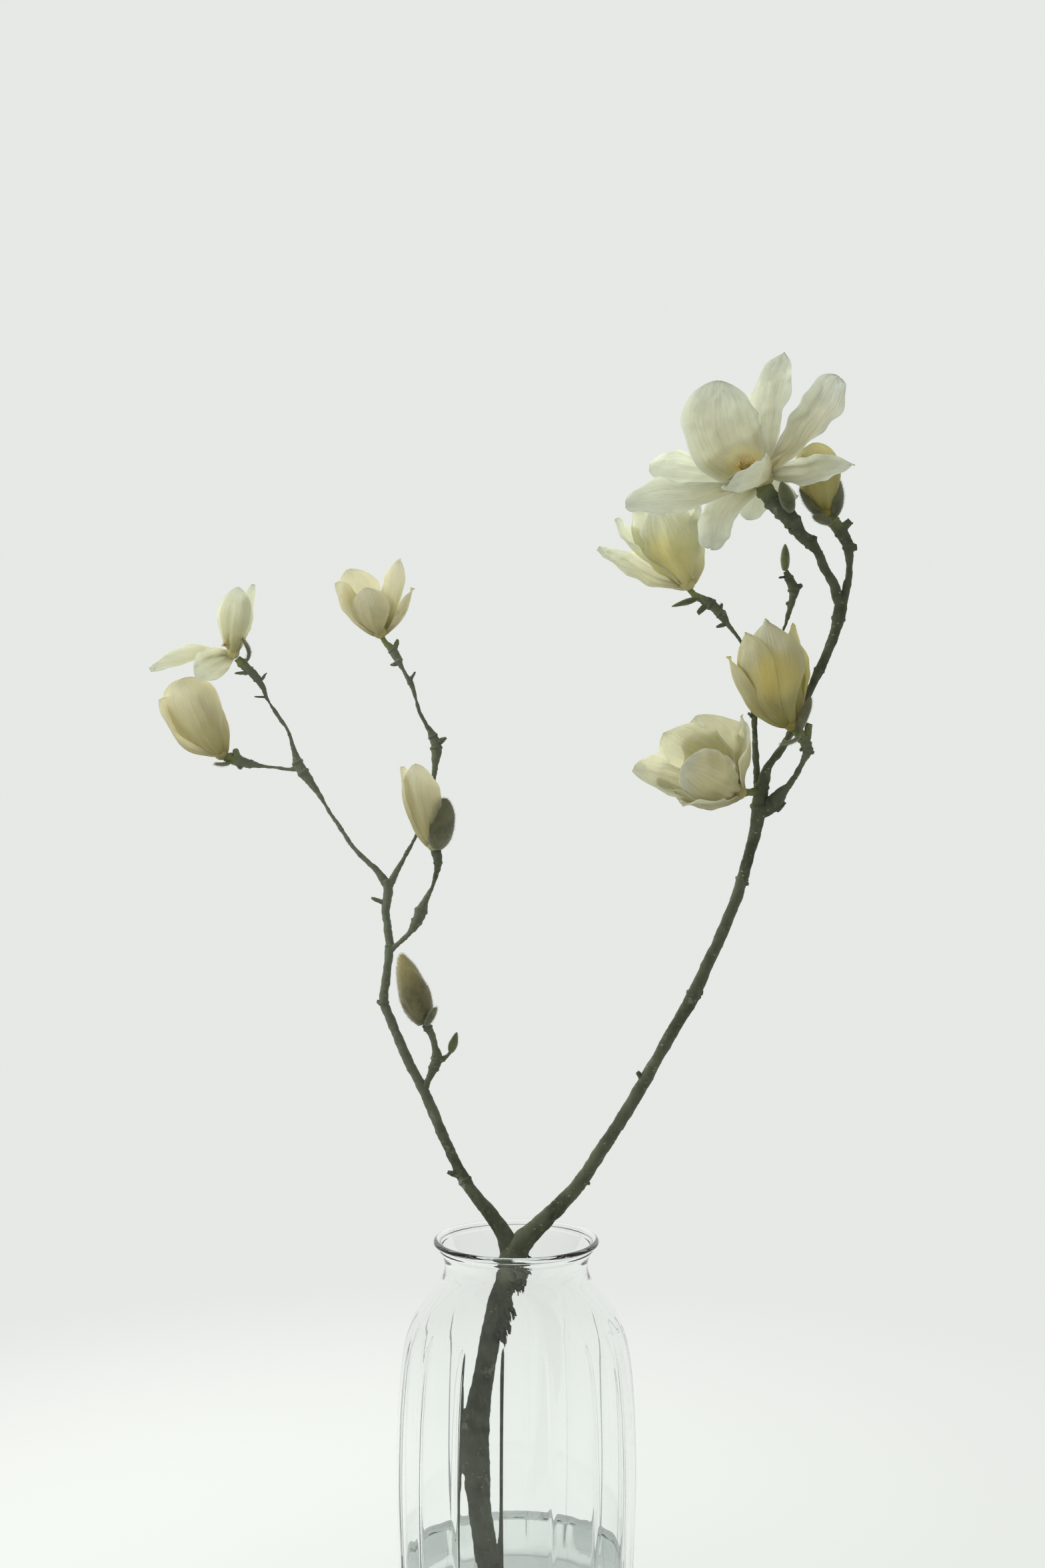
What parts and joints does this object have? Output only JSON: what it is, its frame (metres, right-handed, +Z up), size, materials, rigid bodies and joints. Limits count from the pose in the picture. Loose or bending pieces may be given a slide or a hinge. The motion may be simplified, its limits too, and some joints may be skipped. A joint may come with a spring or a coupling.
{
  "type": "magnolia branch",
  "caption": "Forked cut magnolia branch with pale cup-shaped blooms, closed buds and fuzzy bud scales, standing in a clear fluted glass vase with a little water.",
  "frame": {"origin": "centre of the vase's flat base, on the surface it stands on", "axes": "+Z up; +X to the right and +Y away from the viewer as the picture shows the branch"},
  "size_m": [0.3962, 0.1815, 0.7082],
  "materials": {
    "clear_glass": "clear, smooth, with soft upright flutes",
    "water": "clear still water",
    "bark": "matt bark with pale lenticels",
    "tepal": "soft, thin and translucent, ivory to pale green-yellow",
    "heart": "matt stamens and carpels",
    "bud_scale": "fuzzy with fine hairs",
    "leaf_bud": "matt, finely downy"
  },
  "bodies": {
    "root": {"vase": "clear_glass", "water": "water", "branch_wood": "bark", "bloom_1_tepals": "tepal", "bloom_1_heart": "heart", "bloom_2_tepals": "tepal", "bloom_2_scale_1": "bud_scale", "bloom_2_scale_2": "bud_scale", "bloom_2_scale_3": "bud_scale", "bloom_3_tepals": "tepal", "bloom_4_tepals": "tepal", "bloom_4_scale_1": "bud_scale", "bloom_4_scale_2": "bud_scale", "bloom_5_tepals": "tepal", "bloom_6_tepals": "tepal", "bloom_6_heart": "heart", "bloom_7_tepals": "tepal", "bloom_7_heart": "heart", "bloom_7_scale_1": "bud_scale", "bloom_8_tepals": "tepal", "bloom_8_scale_1": "bud_scale", "bloom_9_tepals": "tepal", "bloom_9_scale_1": "bud_scale", "leaf_bud_middle": "leaf_bud", "leaf_bud_bloom_1": "leaf_bud", "leaf_bud_bloom_3": "leaf_bud", "leaf_bud_left": "leaf_bud", "bloom_10_bud": "bud_scale", "bloom_10_scale": "bud_scale"}
  },
  "joints": []
}
